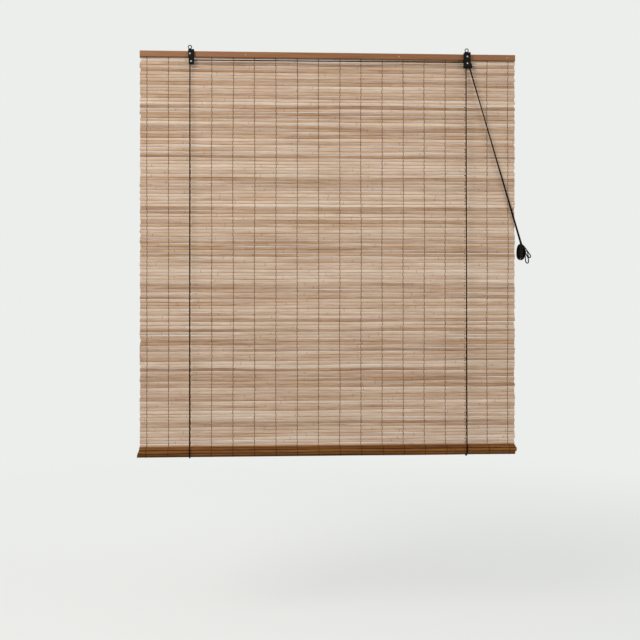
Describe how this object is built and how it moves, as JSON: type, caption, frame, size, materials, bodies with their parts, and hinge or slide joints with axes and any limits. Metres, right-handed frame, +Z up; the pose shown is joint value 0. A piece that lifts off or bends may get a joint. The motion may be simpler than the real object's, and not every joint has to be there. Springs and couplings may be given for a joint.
{
  "type": "bamboo roll up blind",
  "caption": "Roll-up window blind of split bamboo slats on a wooden head batten, with pulleys, a cord lock, slings round the rolled-up end and a wall cleat.",
  "frame": {"origin": "midway between the centres of the two hanging eyes, on the plane of the batten's front face", "axes": "+X to the right as seen from the room, +Y toward the wall, +Z up"},
  "size_m": [1.2563, 0.0479, 1.3084],
  "materials": {
    "batten_wood": "smooth, lightly oiled",
    "bamboo": "split bamboo, dull",
    "string": "spun thread",
    "cord": "braided",
    "black_metal": "black, satin",
    "bright_steel": "bright plated",
    "steel": "plain wire",
    "sheave_plastic": "matt",
    "cleat_plastic": "satin"
  },
  "bodies": {
    "head": {"head_batten": "batten_wood", "slat_mat": "bamboo", "warp_strings": "string", "mat_staples": "steel", "cord_staples": "steel", "left_back_plate": "black_metal", "left_front_plate": "black_metal", "left_spacer": "black_metal", "left_screw": "bright_steel", "left_axle": "bright_steel", "right_back_plate": "black_metal", "right_front_plate": "black_metal", "right_spacer": "black_metal", "right_screw": "bright_steel", "right_axle": "bright_steel", "cam_pin": "black_metal", "stop_post": "black_metal", "left_back_run": "cord", "left_front_run": "cord", "cross_run": "cord", "left_pull_cord": "cord", "right_back_run": "cord", "right_front_run": "cord", "right_pull_cord": "cord", "cord_cleat": "cleat_plastic", "cord_hank": "cord", "cord_loops": "cord"},
    "sling": {"left_bight": "cord", "right_bight": "cord"},
    "roll": {"rolled_mat": "bamboo", "bottom_dowel": "batten_wood"},
    "left_wheel": {"left_sheave": "sheave_plastic"},
    "right_rear_wheel": {"right_rear_sheave": "sheave_plastic"},
    "right_front_wheel": {"right_front_sheave": "sheave_plastic"},
    "cam": {"lock_cam": "black_metal"}
  },
  "joints": [
    {"name": "roll_lift", "type": "slide", "parent": "head", "child": "sling", "axis": [0, -0.0175, 0.9998], "range_m": [-0.35, 1.15], "deforming": ["slat_mat", "warp_strings", "left_front_run", "right_front_run", "left_back_run", "right_back_run"]},
    {"name": "roll_turn", "type": "hinge", "parent": "sling", "child": "roll", "pos_m": [0, -0.0075, -1.27945], "axis": [1, 0, 0], "range_deg": [-3570, 1090]},
    {"name": "left_sheave_spin", "type": "hinge", "parent": "head", "child": "left_wheel", "pos_m": [-0.438, 0, -0.0455], "axis": [0, 1, 0], "continuous": true},
    {"name": "right_rear_sheave_spin", "type": "hinge", "parent": "head", "child": "right_rear_wheel", "pos_m": [0.442, 0, -0.043], "axis": [0, 1, 0], "continuous": true},
    {"name": "right_front_sheave_spin", "type": "hinge", "parent": "head", "child": "right_front_wheel", "pos_m": [0.442, 0, -0.043], "axis": [0, 1, 0], "continuous": true},
    {"name": "lock_cam_swing", "type": "hinge", "parent": "head", "child": "cam", "pos_m": [0.443, 0, -0.0526], "axis": [0, 1, 0], "range_deg": [0, 25]}
  ],
  "couplings": [
    {"joint": "roll_turn", "follows": "roll_lift", "rad_per_m": -54.054},
    {"joint": "left_sheave_spin", "follows": "roll_lift", "rad_per_m": 500},
    {"joint": "right_rear_sheave_spin", "follows": "roll_lift", "rad_per_m": 500},
    {"joint": "right_front_sheave_spin", "follows": "roll_lift", "rad_per_m": 500}
  ]
}
